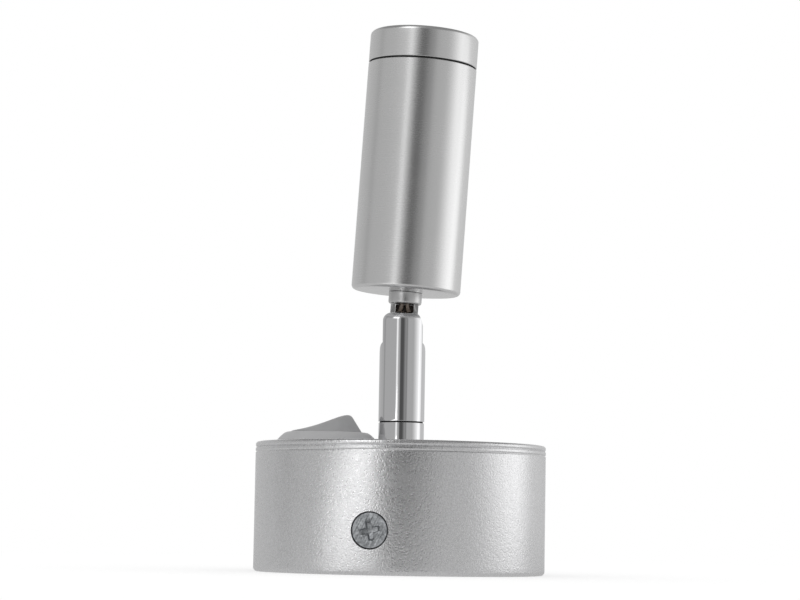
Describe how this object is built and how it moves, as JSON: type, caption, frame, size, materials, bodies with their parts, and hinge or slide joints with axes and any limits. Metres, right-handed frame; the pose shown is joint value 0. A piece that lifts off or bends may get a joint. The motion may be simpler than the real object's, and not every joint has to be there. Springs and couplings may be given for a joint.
{
  "type": "spotlight",
  "caption": "Surface spotlight: round base with a rocker switch, a swivelling plated stem and a cylindrical head that tilts on a pinned knuckle.",
  "frame": {"origin": "centre of the base's wall side", "axes": "+Z out of the wall along the base axis, towards the stem and head; the switch is at -X, the side screws at +Y and -Y"},
  "size_m": [0.066, 0.066, 0.1244],
  "materials": {
    "base_aluminium": "anodised silver with a fine blasted grain",
    "head_aluminium": "satin turned and clear anodised",
    "plated_metal": "bright chrome plating",
    "screw_zinc": "zinc plated",
    "plate_steel": "zinc plated sheet",
    "nut_brass": "plain",
    "contact_brass": "plain",
    "flange_plastic": "moulded light grey",
    "rocker_plastic": "moulded grey, fine grain",
    "block_plastic": "moulded natural",
    "case_plastic": "moulded black",
    "nylon": "natural nylon",
    "spring_steel": "drawn wire",
    "ring_rubber": "black",
    "pad_foam": "adhesive foam",
    "board_green": "solder resist",
    "component_body": "varnished parts",
    "board_white": "white resist on aluminium",
    "heat_sink_metal": "as turned",
    "front_glass": "clear, polished",
    "lens_acrylic": "clear moulded",
    "emitter": "phosphor under silicone",
    "lead_brown": "flexible sheath",
    "lead_black": "flexible sheath",
    "lead_blue": "flexible sheath",
    "lamp_lead": "flexible sheath"
  },
  "bodies": {
    "root": {"base_cover": "base_aluminium", "mounting_plate": "plate_steel", "side_screws": "screw_zinc", "terminal_block": "block_plastic", "terminal_inserts": "contact_brass", "terminal_screws": "screw_zinc", "stem_nipple": "plated_metal", "nipple_washer": "plate_steel", "nipple_nut": "nut_brass", "swivel_washer": "plate_steel", "swivel_nut": "nut_brass", "driver_case": "case_plastic", "driver_board": "board_green", "driver_components": "component_body", "driver_pad": "pad_foam", "switch_housing": "flange_plastic", "switch_terminals": "contact_brass", "lead_live": "lead_brown", "lead_switched": "lead_black", "lead_neutral": "lead_blue", "lamp_leads_base": "lamp_lead"},
    "rocker": {"switch_rocker": "rocker_plastic", "rocker_plunger": "nylon", "plunger_spring": "spring_steel"},
    "lever": {"contact_lever": "contact_brass"},
    "stem": {"stem_barrel": "plated_metal", "tilt_pin": "plated_metal", "friction_washers": "nylon", "lamp_leads_stem": "lamp_lead"},
    "head": {"knuckle_tongue": "plated_metal", "tongue_washer": "plate_steel", "tongue_nut": "nut_brass", "head_tube": "head_aluminium", "seam_ring": "ring_rubber", "front_bezel": "head_aluminium", "front_glass": "front_glass", "lens": "lens_acrylic", "lens_holder": "case_plastic", "heat_sink": "heat_sink_metal", "led_board": "board_white", "led_emitter": "emitter", "board_screws": "screw_zinc", "lamp_leads_head": "lamp_lead"}
  },
  "joints": [
    {"name": "stem_swivel", "type": "hinge", "parent": "root", "child": "stem", "pos_m": [0, 0, 0.03415], "axis": [0, 0, 1], "range_deg": [-165, 165]},
    {"name": "head_tilt", "type": "hinge", "parent": "stem", "child": "head", "pos_m": [0, 0, 0.05555], "axis": [-0.1908, 0.9816, 0], "range_deg": [-93.3, 86.7]},
    {"name": "rocker_press", "type": "hinge", "parent": "root", "child": "rocker", "pos_m": [-0.0173, 0, 0.0282], "axis": [0, 1, 0], "range_deg": [0, 33]},
    {"name": "lever_rock", "type": "hinge", "parent": "root", "child": "lever", "pos_m": [-0.0173, 0, 0.0177], "axis": [0, 1, 0], "range_deg": [-12, 0]}
  ],
  "couplings": [
    {"joint": "lever_rock", "follows": "rocker_press", "ratio": -0.3636}
  ]
}
